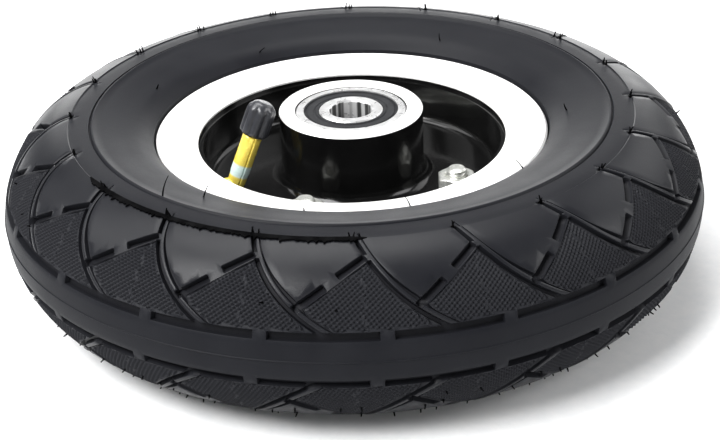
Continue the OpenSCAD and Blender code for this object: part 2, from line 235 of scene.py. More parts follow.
def edge_slot(start, end, rise=0.0, tall=2.3):
    """A slot along the stepped edge, deepest at its upper wall."""
    centre = edge_point((start + end) / 2, rise + tall / 2)
    return Slot(centre, EDGE_TURN, (end - start) / 2, tall / 2, 0.45, 1.25, slope=0.55)


DASH_TOP = DASH_Y + DASH_HALF
CHANNEL_TOP = SECTION_R * math.radians(59)
SHOULDER_CUT = SHOULDER_Y + 1.2                 # the grooves run on a little way over the shoulder
FEATURES = [
    Slot((BRIDGE_X + UNIT_W / 2, DASH_Y), 0, (UNIT_W - BRIDGE_W) / 2, DASH_HALF, 0.3, 1.6),
    Strip(-2.2, RIB_INNER, DASH_TOP - 0.4, CHANNEL_TOP, 1.5),
    Strip(RIB_OUTER, None, DASH_TOP - 0.4, SHOULDER_Y + 3, 1.1),
    Strip(-2.2, RIB_INNER, SECTION_R * math.radians(63), SHOULDER_CUT, 1.6),
    edge_slot(-0.9, 8.5),
    edge_slot(12.3, 21.5, rise=0.25),
]


def knurl_inside(x, y):
    """Distance inside the knurled field, which lies under the stepped edge."""
    stretch = curve_stretch(y)
    right_of_curve = (x - curve_x(y)) / stretch - RIB_OUTER - line_width(y)
    left_of_next = (curve_x(y) + UNIT_W - x) / stretch - 2.2
    below_edge = -edge_frame(x, y)[1]
    above_dash = y - DASH_TOP
    return np.minimum.reduce([right_of_curve, left_of_next, below_edge, above_dash])


def across_lines(x, y, turn):
    """Distance square to a family of knurling lines."""
    return y * math.cos(turn) - x * math.sin(turn)


def tread_height(x, y):
    """Height of the rubber over the plain section, and two masks: groove floor and knurled field."""
    cut = np.zeros_like(x)
    knurl = np.zeros_like(x)
    knurl_h = np.zeros_like(x)
    rib = np.zeros_like(x)
    for shift in (-UNIT_W, 0, UNIT_W):
        for feature in FEATURES:
            depth = feature.depth_at(x - shift, y)
            cut = np.maximum(cut, depth * cut_share(feature.inside(x - shift, y)))
        inside = np.interp(knurl_inside(x - shift, y), [0, 0.2], [0, 1])
        phases = [across_lines(x - shift, y, turn) * 2 * math.pi / KNURL_PITCH for turn in KNURL_TURNS]
        waves = sum(np.cos(phase) for phase in phases)
        knurl_h = np.where(inside > knurl, inside * (KNURL_DEPTH * waves - KNURL_SINK), knurl_h)
        knurl = np.maximum(knurl, inside)
        across = (x - shift - curve_x(y)) / curve_stretch(y)
        on_rib = np.interp(np.minimum(across - RIB_INNER, RIB_OUTER - across), [-EDGE, 0], [0, 1])
        tall = np.interp(y, [DASH_TOP, DASH_TOP + 0.5, CHANNEL_TOP, SHOULDER_Y], [0, 1, 1, 0])
        rib = np.maximum(rib, on_rib * tall)
    floor = np.clip(cut / 0.8, 0, 1)
    parting = PARTING_H * np.interp(y, [PARTING_FLAT, PARTING_FOOT], [1, 0])
    side_step = -SHOULDER_STEP * np.interp(y, [SHOULDER_Y, SHOULDER_Y + SHOULDER_STEP], [0, 1])
    ridge = RIDGE_H * np.interp(np.abs(y - RIDGE_Y), [RIDGE_FLAT, RIDGE_FOOT], [1, 0])
    ridge -= LINE_D * np.interp(np.abs(y - RIDGE_Y + LINE_GAP), [LINE_FLAT, LINE_FOOT], [1, 0])
    height = np.minimum(knurl_h, -cut) + RIB_H * rib * (cut < 0.3)
    return height + parting + side_step + ridge, floor, knurl


# ---------- the tyre's section ----------

def tail_points():
    """The section past the tyre's visible edge: under the rim's lip, round the bead and over the inside."""
    lip_low = 15.4
    bead_r, bead_low = 50.1, 10.6
    wall, cavity_shift = 4.2, 0.8
    cavity_r, cavity_centre = SECTION_R - wall, SECTION_CENTRE - cavity_shift
    start = math.pi - math.asin(bead_low / cavity_r)
    points = [(LIP_R + 0.3, lip_low), (bead_r + 3, lip_low), (bead_r, lip_low), (bead_r, bead_low)]
    steps = 10
    for k in range(steps + 1):
        a = start * (1 - k / steps)
        points.append((cavity_centre + cavity_r * math.cos(a), cavity_r * math.sin(a)))
    return points


TAIL = tail_points()
END_Y = BEAD_Y + TAIL_STEP * len(TAIL)


def place(x, y, height, side):
    """Points of the tyre in the frame, in metres, from the flat layout. side is 1 above and -1 below."""
    lean = TREAD_LEAN * np.interp(y, [FULL_LEAN_Y, SHOULDER_Y, RIDGE_Y - 1.5], [1, SHOULDER_LEAN, 0])
    angle = np.minimum(y, BEAD_Y) / SECTION_R + side * lean
    r = SECTION_CENTRE + (SECTION_R + height) * np.cos(angle)
    swell = np.interp(y, [SECTION_R * math.radians(v) for v in (104, 114, 126, 135)], [0, 0.12, 0.72, 1])
    z = (SECTION_R + height) * np.sin(angle) + BEAD_LIFT * swell
    tail_y = [BEAD_Y] + [BEAD_Y + TAIL_STEP * (k + 1) for k in range(len(TAIL))]
    last = BEAD_Y / SECTION_R
    tail_r = [SECTION_CENTRE + SECTION_R * math.cos(last)] + [p[0] for p in TAIL]
    tail_z = [SECTION_R * math.sin(last) + BEAD_LIFT] + [p[1] for p in TAIL]
    r = np.where(y > BEAD_Y, np.interp(y, tail_y, tail_r), r)
    z = np.where(y > BEAD_Y, np.interp(y, tail_y, tail_z), z)
    turn = UNIT_START + x / TREAD_R
    return np.stack([r * np.cos(turn), r * np.sin(turn), z * side], axis=1) * MM


# ---------- tread unit mesh ----------

class Layout:
    """Points and lines of the flat unit, handed to the triangulator together."""

    def __init__(self):
        self.points, self.lines = [], []

    def path(self, points, closed=False):
        base = len(self.points)
        self.points += [(float(x), float(y)) for x, y in points]
        last = len(points) if closed else len(points) - 1
        self.lines += [(base + k, base + (k + 1) % len(points)) for k in range(last)]

    def clear_of_lines(self, points, room):
        """The given points that lie at least room away from every line."""
        pts = np.array(points)
        ends = np.array(self.points)
        a = ends[[i for i, _ in self.lines]]
        b = ends[[j for _, j in self.lines]]
        keep = np.ones(len(pts), bool)
        d = b - a
        length2 = np.maximum((d ** 2).sum(1), 1e-12)
        for k, p in enumerate(pts):
            t = np.clip(((p - a) * d).sum(1) / length2, 0, 1)
            gap = p - (a + t[:, None] * d)
            keep[k] = (gap ** 2).sum(1).min() > room ** 2
        return pts[keep]


def unit_rows():
    """Heights at which a line of mesh runs right across the unit."""
    rows = [0, PARTING_FLAT, PARTING_FOOT, DASH_Y - DASH_HALF - 1.5]
    rows += [SHOULDER_Y, SHOULDER_Y + SHOULDER_STEP, SHOULDER_Y + 3.6]
    line_y = RIDGE_Y - LINE_GAP
    rows += [line_y + d for d in (-LINE_FOOT, -LINE_FLAT, LINE_FLAT, LINE_FOOT)]
    rows += [RIDGE_Y - RIDGE_FLAT, RIDGE_Y + RIDGE_FLAT, RIDGE_Y + RIDGE_FOOT]
    rows += list(np.linspace(RIDGE_Y + 2.5, BEAD_Y, 8))
    rows += [BEAD_Y + TAIL_STEP * (k + 1) for k in range(len(TAIL))]
    return rows


def knurl_points():
    """Points on the crests, the valleys and the crossings of the knurling, clear of its border."""
    reach, border = 110, 0.22
    steps = np.arange(-reach, reach) * KNURL_PITCH / 2
    first, second = (grid.ravel() for grid in np.meshgrid(steps, steps))
    (c1, s1), (c2, s2) = [(math.cos(turn), math.sin(turn)) for turn in KNURL_TURNS]
    cross = c1 * s2 - c2 * s1
    x, y = (c2 * first - c1 * second) / cross, (s2 * first - s1 * second) / cross
    keep = knurl_inside(x, y) > border
    return x[keep], y[keep]


def plain_points(plan):
    """A loose grid of points over the tread, clear of the lines and of the knurling."""
    row_gap, gap = 2.2, 2.4
    free = []
    for row, y in enumerate(np.arange(1.2, SHOULDER_Y, row_gap)):
        free += [(x + gap / 2 * (row % 2), y) for x in np.arange(0.7, UNIT_W, gap)]
    free = plan.clear_of_lines(free, 0.45)
    return free[tread_height(free[:, 0], free[:, 1])[2] < 0.02]


def knurled_points(plan):
    """The knurling's points that fall in this unit, from its own field and its neighbour's."""
    edge = 0.2
    kx, ky = knurl_points()
    knurled = [(x + s, y) for s in (-UNIT_W, 0) for x, y in zip(kx, ky) if edge < x + s < UNIT_W - edge]
    return plan.clear_of_lines(knurled, 0.3)


def unit_mesh():
    """The flat unit as points and triangles."""
    plan = Layout()
    columns = [k * COLUMN_W for k in range(COLUMNS + 1)]
    for y in unit_rows():
        plan.path([(x, y) for x in columns])
    side_ys = np.concatenate([np.arange(0, DASH_TOP, 1.2), np.arange(DASH_TOP, CHANNEL_TOP, 0.45),
                              np.arange(CHANNEL_TOP, SHOULDER_Y, 1.0),
                              [y for y in unit_rows() if y > SHOULDER_Y]])
    for x in (0, UNIT_W):
        plan.path([(x, y) for y in side_ys])
    for shift in (-UNIT_W, 0, UNIT_W):
        for feature in FEATURES:
            for inset in (-EDGE, 0, WALL):
                plan.path([(x + shift, y) for x, y in feature.loop(inset)], closed=True)
        for below in (0, -0.2):
            line = [edge_point(a, below) for a in np.arange(-0.5, EDGE_LONG, 1.0)]
            plan.path([(x + shift, y) for x, y in line])
    low_side = [(x, SHOULDER_Y + 1.6) for x in columns[1:-1]]
    loose = list(plain_points(plan)) + list(knurled_points(plan)) + low_side
    plan.points += [tuple(map(float, p)) for p in loose]
    coords = [Vector(p) for p in plan.points]
    points, _, faces, _, _, _ = delaunay_2d_cdt(coords, plan.lines, [], 0, 1e-4)
    points = np.array([(p.x, p.y) for p in points])
    faces = np.array(faces)
    middle = points[faces].mean(axis=1)
    inside = (middle[:, 0] > 0) & (middle[:, 0] < UNIT_W) & (middle[:, 1] > 0) & (middle[:, 1] < END_Y)
    return points, faces[inside]


def mesh_object(name, points, faces, smooth_angle=None):
    """A mesh piece from points in metres and faces as lists of indices."""
    mesh = bpy.data.meshes.new(name)
    mesh.from_pydata([tuple(p) for p in points], [], [tuple(int(i) for i in f) for f in faces])
    mesh.update()
    if smooth_angle is not None:
        mesh.shade_smooth()
        mesh.set_sharp_from_angle(angle=math.radians(smooth_angle))
    ob = bpy.data.objects.new(name, mesh)
    bpy.context.scene.collection.objects.link(ob)
    return ob


def build_tyre():
    """The whole tyre: the unit repeated round both sides and welded into one closed surface."""
    flat, faces = unit_mesh()
    height, floor, knurl = tread_height(flat[:, 0], flat[:, 1])
    share = np.interp(flat[:, 1], [DASH_TOP, DASH_TOP + 0.5, SHOULDER_Y, SHOULDER_Y + 0.4], [0, 1, 1, 0.35])
    smooth = (1 - floor) * (1 - knurl) * share
    all_points, all_faces, masks = [], [], []
    for side in (1, -1):
        offset = 0 if side > 0 else LOWER_SHIFT
        turned = faces if side > 0 else faces[:, ::-1]
        for k in range(UNITS):
            base = sum(len(p) for p in all_points)
            all_points.append(place(flat[:, 0] + k * UNIT_W + offset, flat[:, 1], height, side))
            all_faces.append(turned + base)
            masks.append(np.stack([floor, knurl, smooth], axis=1))
    points = np.concatenate(all_points)
    faces = np.concatenate(all_faces)
    masks = np.concatenate(masks)
    _, first, index = np.unique(np.round(points / MM, 2), axis=0, return_index=True, return_inverse=True)
    index = index.ravel()
    faces = index[faces]
    good = (faces[:, 0] != faces[:, 1]) & (faces[:, 1] != faces[:, 2]) & (faces[:, 0] != faces[:, 2])
    tyre = mesh_object("tyre_moulded", points[first], faces[good], smooth_angle=40)
    for column, name in enumerate(("floor", "knurl", "smooth")):
        layer = tyre.data.attributes.new(name, "FLOAT", "POINT")
        layer.data.foreach_set("value", masks[first, column].astype(np.float32))
    return tyre


# ---------- turned pieces ----------

def turned(name, outline, segments, places, radius_at=None, smooth_angle=35):
    """A turned solid from (radius, height) points, in millimetres, copied to each place.

    radius_at(angle, radius, height) may change the radius, for flats, ribs and threads."""
    points, faces = [], []
    n = len(outline)
    for matrix in places:
        base = len(points)
        for k in range(segments):
            a = 2 * math.pi * k / segments
            for r, h in outline:
                rr = radius_at(a, r, h) if radius_at and r > 0 else r
                points.append(matrix @ Vector((rr * math.cos(a), rr * math.sin(a), h)) * MM)
        for k in range(segments):
            this, after = base + k * n, base + (k + 1) % segments * n
            for i in range(n):
                j = (i + 1) % n
                faces.append((this + i, after + i, after + j, this + j))
    return closed_mesh(name, points, faces, smooth_angle)


def closed_mesh(name, points, faces, smooth_angle=35):
    """A mesh piece whose coinciding points are welded and whose faces all look outwards."""
    ob = mesh_object(name, points, faces)
    work = bmesh.new()
    work.from_mesh(ob.data)
    bmesh.ops.remove_doubles(work, verts=work.verts, dist=1e-7)
    bmesh.ops.recalc_face_normals(work, faces=work.faces)
    work.to_mesh(ob.data)
    work.free()
    ob.data.shade_smooth()
    ob.data.set_sharp_from_angle(angle=math.radians(smooth_angle))
    return ob


def arc(centre_r, centre_h, radius, start, end, steps=6):
    """Points of an outline's round corner, with angles in degrees."""
    angles = [math.radians(start + (end - start) * k / steps) for k in range(steps + 1)]
    return [(centre_r + radius * math.cos(a), centre_h + radius * math.sin(a)) for a in angles]


def levels(low, high, step):
    """Evenly spaced heights from low to high, about step apart."""
    count = max(1, round((high - low) / step))
    return [low + (high - low) * k / count for k in range(count + 1)]


def thread_cut(angle, height, pitch):
    """Share of a right-hand thread's depth at a point of its surface."""
    return 0.5 - 0.5 * math.cos(2 * math.pi * height / pitch - angle)


def hex_radius(angle, flats):
    """Radius of a hexagon with the given width across its flats."""
    sixth = math.pi / 3
    return flats / 2 / math.cos((angle + sixth / 2) % sixth - sixth / 2)


# ---------- nuts and bolts ----------

BOLT_D = 6
BOLT_PITCH = 1.0
BOLT_PLACES = 4                                 # places round the circle; one of them stays empty
FIRST_PLACE = 0.7                               # roughly where the first is, in gaps between places
HEX_FLATS = 10
HEX_CORNER = HEX_FLATS / 2 / math.cos(math.pi / 6)


def bolt_places():
    """Where the bolts stand, from the centres of the nuts' separate solids."""
    mesh = NODES["rim_nuts"].data
    spots = {}
    for v in mesh.vertices:
        index = round(math.atan2(v.co.y, v.co.x) / (2 * math.pi / BOLT_PLACES) - FIRST_PLACE)
        spots.setdefault(index % BOLT_PLACES, []).append(v.co)
    centres = [sum(group, Vector()) / len(group) / MM for group in spots.values()]
    return [Matrix.Translation((c.x, c.y, 0)) for c in centres]


def build_nuts():
    low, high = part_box("rim_nuts")[0].z / MM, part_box("rim_nuts")[1].z / MM
    bevel = [0.9, 0.7, 0.5, 0.3, 0.15, 0]

    def nut_radius(a, r, h):
        if r < 4:
            return r
        end = min(h - low, high - h)
        return min(hex_radius(a, HEX_FLATS), HEX_FLATS / 2 - 0.25 + end * 1.7)

    bore = BOLT_D / 2 + 0.03
    wall = [(HEX_CORNER, low + d) for d in reversed(bevel)] + [(HEX_CORNER, high - d) for d in bevel]
    outline = wall + [(bore + 0.5, high), (bore, high - 0.45), (bore, low + 0.45), (bore + 0.5, low)]
    return turned("rim_nuts_bevelled", outline, 96, bolt_places(), nut_radius, 25)


def build_bolts():
    head_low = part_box("rim_bolts")[0].z / MM
    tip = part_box("rim_bolts")[1].z / MM
    seat = -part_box("rim_nuts")[0].z / MM
    shank = BOLT_D / 2 - 0.03
    thread_low, thread_depth = -1.5, 0.34

    def bolt_radius(a, r, h):
        if r > shank + 0.5:
            return min(hex_radius(a, HEX_FLATS), HEX_FLATS / 2 - 0.3 + (h - head_low) * 1.7)
        if h > thread_low and r > 2.2:
            return r - thread_depth * thread_cut(a, h, BOLT_PITCH)
        return r

    head = [(0, head_low + 0.25), (3.6, head_low + 0.25), (3.9, head_low)]
    head += [(HEX_CORNER, head_low + d) for d in (0, 0.15, 0.3, 0.5, 0.7, 0.9)]
    head += [(HEX_CORNER, seat), (shank, seat)]
    thread = [(shank, h) for h in [thread_low] + levels(4, tip - 0.7, 0.125)]
    outline = head + thread + [(shank - 0.25, tip - 0.35), (shank - 0.65, tip), (0, tip)]
    return turned("rim_bolts_threaded", outline, 48, bolt_places(), bolt_radius, 30)


# ---------- bearing seals ----------

def build_seal(node):
    """A shield seal with a raised lip at the inner ring and a shallow pressed groove."""
    low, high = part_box(node)[0] / MM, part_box(node)[1] / MM
    width = 4.28
    outer, inner = high.x, high.x - width
    up = 1 if high.z > 0 else -1
    face, back = (high.z, low.z) if up > 0 else (low.z, high.z)
    sink = [(inner + 0.75, 0), (inner + 0.9, 0.22), (inner + 1.3, 0.22), (inner + 1.5, 0.06),
            (outer - 1.1, 0.06), (outer - 0.9, 0.28), (outer - 0.55, 0.28), (outer - 0.4, 0)]
    front = [(inner, 0.15), (inner + 0.15, 0)] + sink + [(outer - 0.1, 0), (outer, 0.12)]
    outline = [(r, face - up * d) for r, d in front] + [(outer, back), (inner, back)]
    return turned(node + "_moulded", outline, 128, [Matrix()], smooth_angle=30)


# ---------- valve ----------

CAP_JOINT = next(j for j in frame["record"]["behaviour"]["joints"] if j["name"] == "cap_turn")
STEM_AXIS = Vector(CAP_JOINT["axis"]).normalized()
STEM_TIP = Vector(CAP_JOINT["pos_m"]) / MM
VALVE_TURN = math.atan2(STEM_TIP.y, STEM_TIP.x)
VALVE_LEAN = math.acos(STEM_AXIS.z)
VALVE_PITCH = 0.794
STEM_R = 2.75
STEM_LEN = 21                                       # straight part, from the bend's end to the tip
THREAD_LOW, THREAD_STEP, THREAD_DEPTH = 12.8, 0.13, 0.28    # heights count from the bend's end
CAP_SKIRT, CAP_BORE_END, CAP_TOP = -7.8, 1.3, 2.2   # heights along the stem's axis, from its tip
CORE_ROOM_R, CORE_ROOM_LOW = 1.96, -11.4            # the room for the valve core
SPRING_LOW, SPRING_HIGH = -6.25, -2.95
CAP_RIBS = 8
CAP_PHASE = math.radians(252)


def stem_place():
    """Carries +Z to the stem's axis, with the tip at the origin and +Y square to the valve's plane."""
    side = Vector((math.sin(VALVE_TURN), -math.cos(VALVE_TURN), 0))
    out = side.cross(STEM_AXIS)
    turn = Matrix((out, side, STEM_AXIS)).transposed()
    return Matrix.Translation(STEM_TIP) @ turn.to_4x4()


def build_valve_cap():
    bore, body, rib_h = STEM_R + 0.15, 3.5, 0.66

    def rib_radius(a, r, h):
        if r < 2.2 or (h < CAP_BORE_END and r < body - 0.25):
            return r
        rise = np.interp(h, [CAP_SKIRT + 0.2, CAP_SKIRT + 0.7, CAP_TOP - 2.6, CAP_TOP - 0.4], [0, 1, 1, 0])
        return r + rib_h * rise * abs(math.cos(CAP_RIBS / 2 * (a - CAP_PHASE))) ** 0.9

    inside = [(0, CAP_BORE_END), (bore - 0.4, CAP_BORE_END), (bore, CAP_BORE_END - 0.4)]
    inside += [(bore, CAP_SKIRT + 0.3), (bore + 0.3, CAP_SKIRT), (body - 0.2, CAP_SKIRT)]
    round_r = 2.2
    wall = [(body, h) for h in levels(CAP_SKIRT + 0.2, CAP_TOP - round_r, 0.45)]
    dome = arc(body - round_r, CAP_TOP - round_r, round_r, 8, 82, 9) + [(0, CAP_TOP)]
    return turned("valve_cap_ribbed", inside + wall + dome, 96, [stem_place()], rib_radius, 40)


def stem_rings():
    """The stem's rings from the leg's end to the core's seat, and the first and last with thread.

    A ring is its centre, as (distance out, height), the direction it faces, and its radius."""
    leg_r, leg_end, bend_steps = 2.45, 50.6, 10
    wide_bend_r, bend_r, bend_x = 4, 2.7, 38
    bend_turn = math.pi / 2 - VALVE_LEAN
    hole_z = STEM_TIP.z - STEM_LEN * STEM_AXIS.z - wide_bend_r * (1 - math.cos(bend_turn))
    bend_end = Vector((bend_x - wide_bend_r * math.sin(bend_turn),
                       hole_z + wide_bend_r * (1 - math.cos(bend_turn))))
    bend_x -= (wide_bend_r - bend_r) * math.tan(bend_turn / 2)
    along = Vector((-math.sin(VALVE_LEAN), math.cos(VALVE_LEAN)))
    leg = [(leg_end, 0.0), (leg_end, 0.9), (leg_end, leg_r - 0.3), (leg_end - 0.3, leg_r)]
    leg += [(x, leg_r) for x in (46, 42, 39)]
    rings = [(Vector((x, hole_z)), math.pi, r) for x, r in leg]
    bend_growth = 0.15
    for k in range(bend_steps + 1):
        a = bend_turn * k / bend_steps
        centre = Vector((bend_x - bend_r * math.sin(a), hole_z + bend_r * (1 - math.cos(a))))
        rings.append((centre, math.pi - a, leg_r + bend_growth * k / bend_steps))
    heading = math.pi - bend_turn
    for h in [0.6, 1.2, 1.6] + levels(2.4, 12.4, 1.25):
        r = float(np.interp(h, [1, 1.6], [leg_r + bend_growth, STEM_R]))
        rings.append((bend_end + along * h, heading, r))
    thread_from = len(rings)
    rings += [(bend_end + along * h, heading, STEM_R)
              for h in levels(THREAD_LOW, STEM_LEN - 0.6, THREAD_STEP)]
    thread_to = len(rings)
    mouth = [(-0.2, STEM_R - 0.3), (0, 2.35), (0, 2.1), (-0.2, CORE_ROOM_R),
             (CORE_ROOM_LOW, CORE_ROOM_R), (CORE_ROOM_LOW, 0)]
    rings += [(bend_end + along * (STEM_LEN + depth), heading, r) for depth, r in mouth]
    return rings, thread_from, thread_to


def build_valve_stem():
    """The bent stem, with a thread under the cap and a fine groove down the side."""
    segments, groove_depth, groove_at = 96, 0.35, 1.5 * math.pi
    rings, thread_from, thread_to = stem_rings()
    out = Vector((math.cos(VALVE_TURN), math.sin(VALVE_TURN), 0))
    side = Vector((math.sin(VALVE_TURN), -math.cos(VALVE_TURN), 0))
    points, faces = [], []
    for index, (centre, turn, radius) in enumerate(rings):
        across = out * math.sin(turn) - Vector((0, 0, 1)) * math.cos(turn)
        middle = out * centre.x + Vector((0, 0, centre.y))
        for k in range(segments):
            a = 2 * math.pi * k / segments
            r = radius
            if thread_from <= index < thread_to:
                h = THREAD_LOW + (index - thread_from) * THREAD_STEP
                r -= THREAD_DEPTH * thread_cut(a, h, VALVE_PITCH)
            if radius > 2:
                r -= groove_depth * np.interp(abs(a - groove_at), [0.03, 0.1], [1, 0])
            points.append((middle + (across * math.cos(a) + side * math.sin(a)) * r) * MM)
    for index in range(len(rings) - 1):
        for k in range(segments):
            this, after = index * segments, (index + 1) * segments
            j = (k + 1) % segments
            faces.append((this + k, this + j, after + j, after + k))
    return closed_mesh("valve_stem_turned", points, faces, 35)


def build_core_spring():
    """The valve core's coil spring, built as a fixed coil at rest; the real spring shortens as the pin is
    pressed.
    """
    coil_r, wire_r, turns = 1.1, 0.17, 5
    steps, sides = 24 * turns, 10
    place_at = stem_place()
    points, faces = [], []
    for index in range(steps + 1):
        turn = 2 * math.pi * turns * index / steps
        h = SPRING_LOW + wire_r + (SPRING_HIGH - SPRING_LOW - 2 * wire_r) * index / steps
        for k in range(sides):
            a = 2 * math.pi * k / sides
            r = coil_r + wire_r * math.cos(a)
            local = Vector((r * math.cos(turn), r * math.sin(turn), h + wire_r * math.sin(a)))
            points.append((place_at @ local) * MM)
    for index in range(steps):
        for k in range(sides):
            this, after, j = index * sides, (index + 1) * sides, (k + 1) % sides
            faces.append((this + k, this + j, after + j, after + k))
    faces.append(list(reversed(range(sides))))
    faces.append([steps * sides + k for k in range(sides)])
    return closed_mesh("core_spring_coil", points, faces, 50)


# ---------- moulding flash and vent whiskers ----------

def tyre_spot(azimuth, section_angle, lift=0.0):
    """A point of the tyre's plain surface and its outward direction; both angles are in degrees."""
    side = 1 if section_angle >= 0 else -1
    x = (math.radians(azimuth) - UNIT_START) * TREAD_R
    y = abs(math.radians(section_angle)) * SECTION_R
    low, high = (place(np.array([x]), np.array([y]), np.array([h]), side)[0] for h in (lift, lift + 1.0))
    return Vector(low) / MM, Vector(high - low).normalized()


def build_whiskers():
    """Fine hairs of rubber left by the mould's vents: a few by the rim and many round the tread.

    A spot is the angle round the wheel, the angle round the tyre's section and the hair's length."""
    rng = random.Random(11)
    bead = [(227.6, 95, 5.4), (232.7, 116, 3.4), (256.7, 137, 0.9), (284.5, 136, 3.2), (322, 135, 2.6),
            (357, 124, 1.6), (62, 124, 2.4), (118, 130, 2.8), (158, 122, 1.6)]
    spots = bead + [(azimuth + 40, -phi, length) for azimuth, phi, length in bead]
    vents = 4 * UNITS
    groove_end = 77.5
    for k in range(vents):
        azimuth = 360 / vents * (k + rng.uniform(-0.3, 0.3))
        for phi, share in ((-60, 0.6), (-50, 0.5), (-41, 0.5), (-30, 0.15), (30, 0.1)):
            if rng.random() < share:
                spots.append((azimuth, phi + rng.uniform(-3, 3), rng.uniform(0.4, 1.2)))
    for k in range(UNITS):
        azimuth = math.degrees(UNIT_START) + 360 / UNITS * k - 1
        for _ in range(3):
            spots.append((azimuth + rng.uniform(-1, 1), groove_end + rng.uniform(-0.6, 0.8),
                          rng.uniform(0.8, 1.9)))
    points, faces = [], []
    sides, steps = 5, 4
    for azimuth, phi, length in spots:
        root, out = tyre_spot(azimuth, phi, -0.5)
        bend = Vector([rng.uniform(-1, 1) for _ in range(3)])
        bend = (bend - out * bend.dot(out)).normalized()
        other = out.cross(bend)
        base = len(points)
        for k in range(steps + 1):
            s = k / steps
            centre = root + out * (0.5 + length) * s + bend * length * 0.3 * s * s
            radius = (0.3 if length < 2 else 0.24) - 0.14 * s
            for j in range(sides):
                a = 2 * math.pi * j / sides
                points.append((centre + (bend * math.cos(a) + other * math.sin(a)) * radius) * MM)
        for k in range(steps):
            for j in range(sides):
                this, after = base + k * sides, base + (k + 1) * sides
                faces.append((this + j, this + (j + 1) % sides, after + (j + 1) % sides, after + j))
        faces.append([base + j for j in reversed(range(sides))])
        faces.append([base + steps * sides + j for j in range(sides)])
    return closed_mesh("vent_whiskers", points, faces, 50)


def build_flash():
    """A torn fin of rubber along part of the upper shoulder, where the mould's pieces met."""
    rng = random.Random(5)
    first, last, step = -150, -88, 0.35
    count = round((last - first) / step)
    shoulder = math.degrees(SHOULDER_Y / SECTION_R)
    hang = [rng.uniform(0.9, 1.5) for _ in range(count + 1)]
    for k in range(count + 1):
        if rng.random() < 0.09:
            hang[k] += rng.uniform(0.5, 1.3)
    points, faces = [], []
    for k in range(count + 1):
        azimuth = first + step * k
        ends = min(1, k / 8, (count - k) / 8)
        droop = hang[k] * ends
        section = [(0.9, -0.5), (0.7, 0.45 * ends), (-0.2 - 2.0 * droop, 0.5 * ends),
                   (-0.2 - 2.2 * droop, 0.15 * ends), (-0.6, -0.5)]
        points += [tyre_spot(azimuth, shoulder + phi, lift)[0] * MM for phi, lift in section]
    ring = 5
    for k in range(count):
        for j in range(ring):
            i = (j + 1) % ring
            faces.append((k * ring + j, k * ring + i, (k + 1) * ring + i, (k + 1) * ring + j))
    faces.append(list(range(ring)))
    faces.append([count * ring + j for j in reversed(range(ring))])
    return closed_mesh("shoulder_flash", points, faces, 30)


# ---------- materials ----------

class Shader:
    """A material's node tree, built one node at a time."""

    def __init__(self, name):
        self.material = bpy.data.materials.new(name)
        self.material.use_nodes = True
        self.tree = self.material.node_tree
        self.surface = self.tree.nodes["Principled BSDF"]

    def node(self, kind, **inputs):
        made = self.tree.nodes.new("ShaderNode" + kind)
        for key, value in inputs.items():
            self.put(made, key.replace("_", " "), value)
        return made

    def put(self, made, name, value):
        """Links or sets one input of a node."""
        socket = made.inputs[int(name)] if name.isdigit() else made.inputs[name]
        if isinstance(value, bpy.types.NodeSocket):
            self.tree.links.new(value, socket)
        else:
            socket.default_value = value

    def set(self, **inputs):
        for key, value in inputs.items():
            self.put(self.surface, key.replace("_", " "), value)

    def math(self, operation, a, b=0.0, clamp=False):
        made = self.tree.nodes.new("ShaderNodeMath")
        made.operation = operation
        made.use_clamp = clamp
        self.put(made, "0", a)
        self.put(made, "1", b)
        return made.outputs[0]

    def place(self):
        """Position on the object, in metres, that stays with the piece as it moves."""
        if not hasattr(self, "coords"):
            self.coords = self.tree.nodes.new("ShaderNodeTexCoord").outputs["Object"]
        return self.coords

    def axes(self):
        made = self.node("SeparateXYZ")
        self.put(made, "0", self.place())
        return made.outputs

    def radius(self):
        """Distance from the wheel's axle line, in metres."""
        x, y, _ = self.axes()
        return self.math("SQRT", self.math("ADD", self.math("MULTIPLY", x, x), self.math("MULTIPLY", y, y)))

    def height(self):
        """Distance from the wheel's middle plane, in metres."""
        return self.math("ABSOLUTE", self.axes()[2])

    def along(self, origin, direction):
        """Distance along a direction from a point, in metres."""
        made = self.tree.nodes.new("ShaderNodeVectorMath")
        made.operation = "DOT_PRODUCT"
        self.put(made, "0", self.place())
        self.put(made, "1", tuple(direction))
        return self.math("SUBTRACT", made.outputs["Value"], Vector(origin).dot(direction))

    def noise(self, size_mm, detail=3.0, rough=0.55):
        made = self.node("TexNoise", Scale=1 / (size_mm * MM), Detail=detail, Roughness=rough)
        self.put(made, "Vector", self.place())
        return made.outputs["Fac"]

    def spread(self, value, low, high, to_low=0.0, to_high=1.0):
        """Maps low..high to to_low..to_high."""
        made = self.tree.nodes.new("ShaderNodeMapRange")
        for index, item in enumerate((value, low, high, to_low, to_high)):
            self.put(made, str(index), item)
        return made.outputs[0]

    def blend(self, share, a, b):
        """Colour a where share is 0 and b where it is 1."""
        made = self.tree.nodes.new("ShaderNodeMix")
        made.data_type = "RGBA"
        self.put(made, "0", share)
        self.put(made, "6", a)
        self.put(made, "7", b)
        return made.outputs[2]

    def bump(self, height, strength, depth_mm, normal=None):
        made = self.node("Bump", Strength=strength, Distance=depth_mm * MM)
        self.put(made, "Height", height)
        if normal is not None:
            self.put(made, "Normal", normal)
        return made.outputs[0]


def grey(level, warm=0.0):
    return (level * (1 + warm), level, level * (1 - warm), 1)


